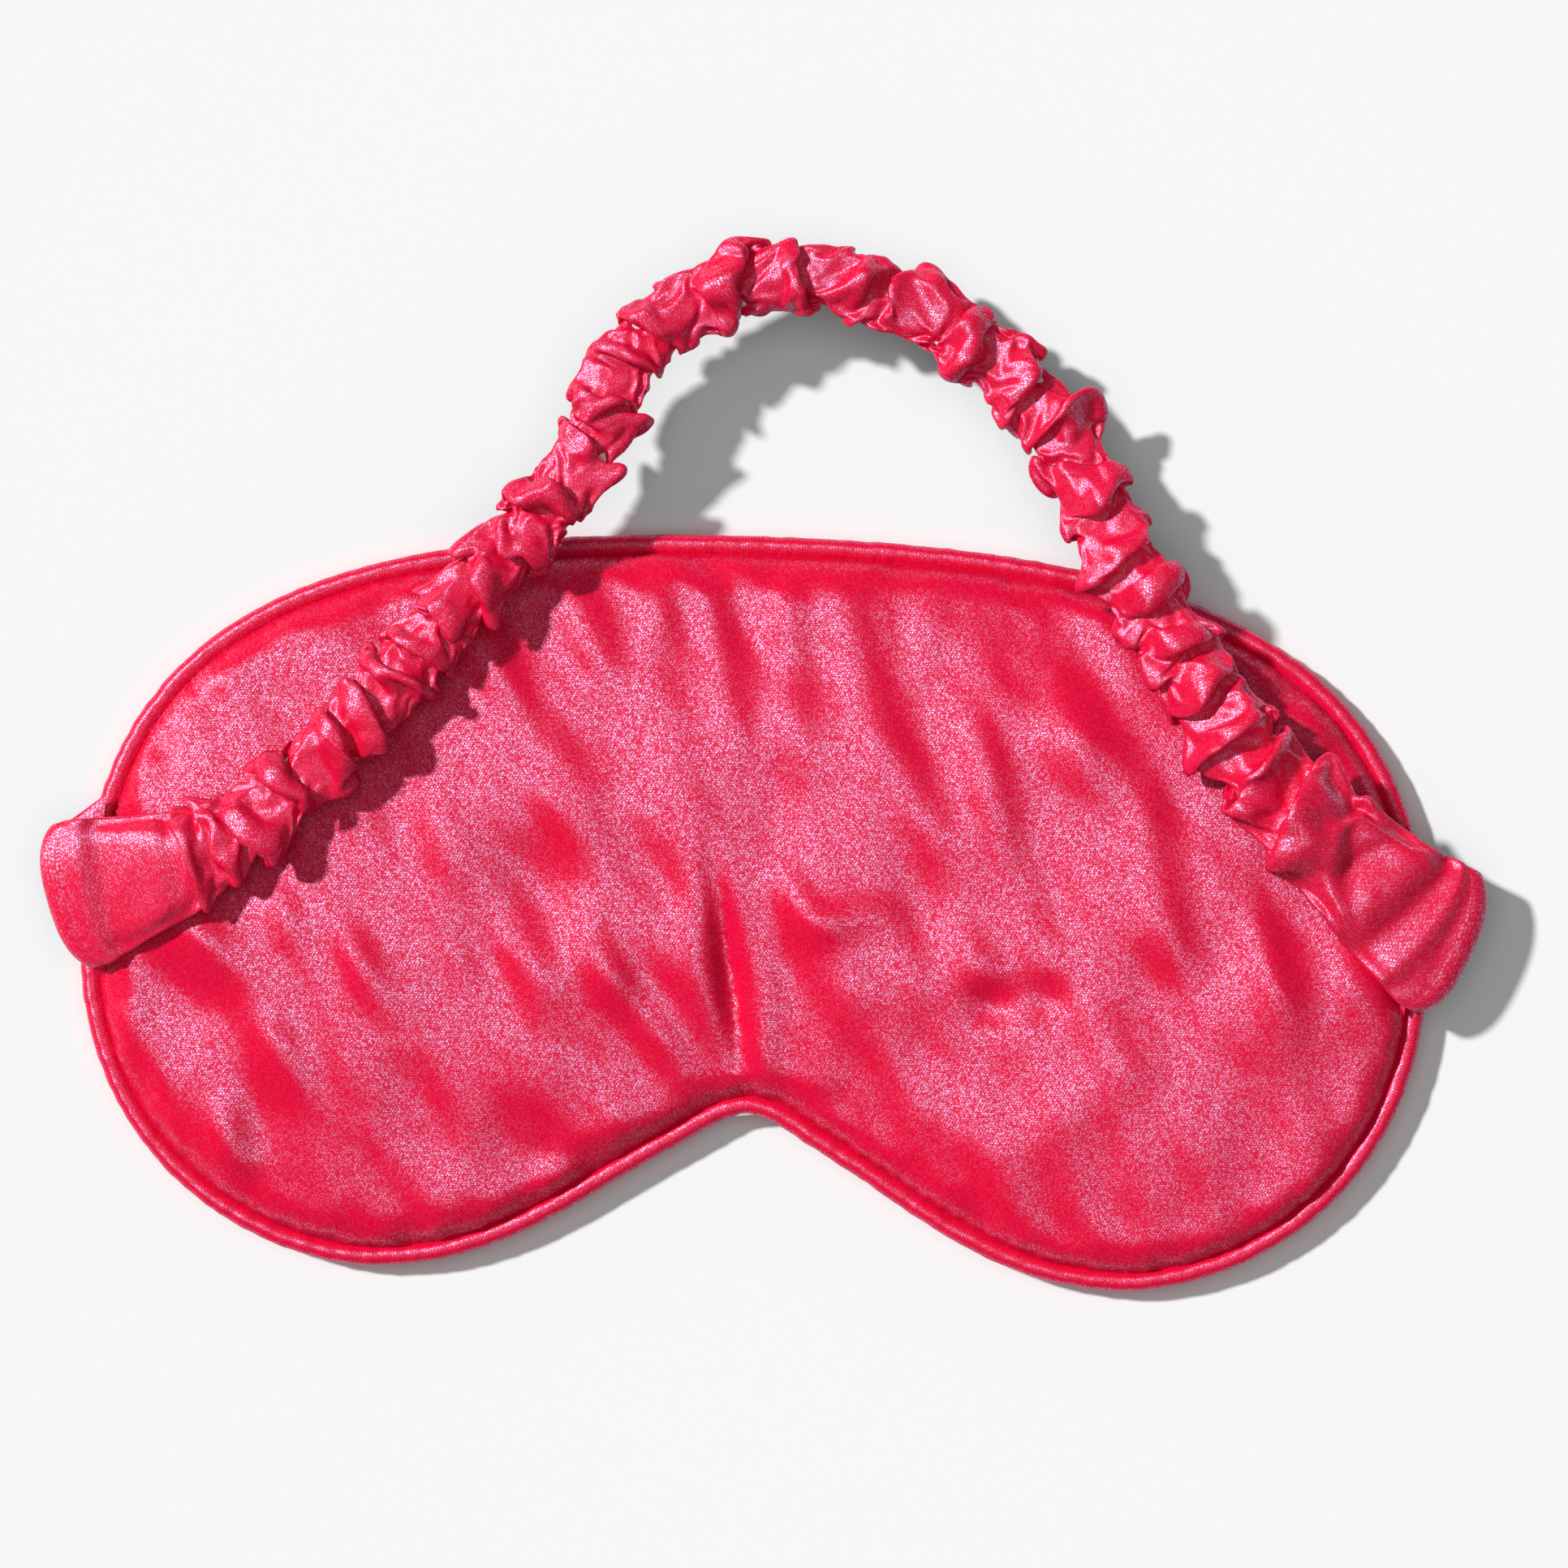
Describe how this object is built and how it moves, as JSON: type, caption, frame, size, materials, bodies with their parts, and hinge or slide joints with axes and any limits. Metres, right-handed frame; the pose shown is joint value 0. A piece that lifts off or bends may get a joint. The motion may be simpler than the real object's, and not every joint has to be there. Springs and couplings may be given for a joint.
{
  "type": "sleep eye mask",
  "caption": "Padded satin sleep eye mask with rounded eye lobes, a nose notch, corded edge piping and a gathered elastic head strap folded over the wearer's side.",
  "frame": {"origin": "centre of the pad's outline on the flat resting face of the front panel", "axes": "+X along the pad's length, +Y to the brow edge, +Z out of the wearer's side, towards the face"},
  "size_m": [0.2205, 0.1613, 0.02],
  "materials": {
    "satin": "crimson pink polyester satin, twill-lit sheen",
    "piping_satin": "the same satin wrapped round a cord",
    "strap_satin": "the same satin, gathered",
    "foam": "matt open-cell foam",
    "lining": "matt black woven lining",
    "wadding": "white fibre",
    "cord": "twisted cotton",
    "thread": "polyester sewing thread",
    "elastic": "knitted elastic tape"
  },
  "bodies": {
    "mask": {"front_satin_panel": "satin", "foam_pad": "foam", "blackout_lining": "lining", "fibre_wadding": "wadding", "back_satin_panel": "satin", "piping_cord": "cord", "piping_cover": "piping_satin", "seam_needle_thread": "thread", "seam_bobbin_thread": "thread", "strap_end_left": "strap_satin", "strap_end_right": "strap_satin", "elastic_end_left": "elastic", "elastic_end_right": "elastic", "side_stitching_left": "thread", "side_stitching_right": "thread"},
    "strap": {"strap_casing_left": "strap_satin", "strap_casing_right": "strap_satin", "strap_elastic_left": "elastic", "strap_elastic_right": "elastic"},
    "strap_crown": {"strap_casing_crown": "strap_satin", "strap_elastic_crown": "elastic"}
  },
  "joints": [
    {"name": "strap_lift", "type": "hinge", "parent": "mask", "child": "strap", "pos_m": [0, -0.0145, 0.0086], "axis": [1, 0, 0], "range_deg": [0, 100]},
    {"name": "strap_stretch", "type": "slide", "parent": "strap", "child": "strap_crown", "axis": [0, 1, 0], "range_m": [0, 0.08], "stiffness_N_per_m": 60}
  ]
}
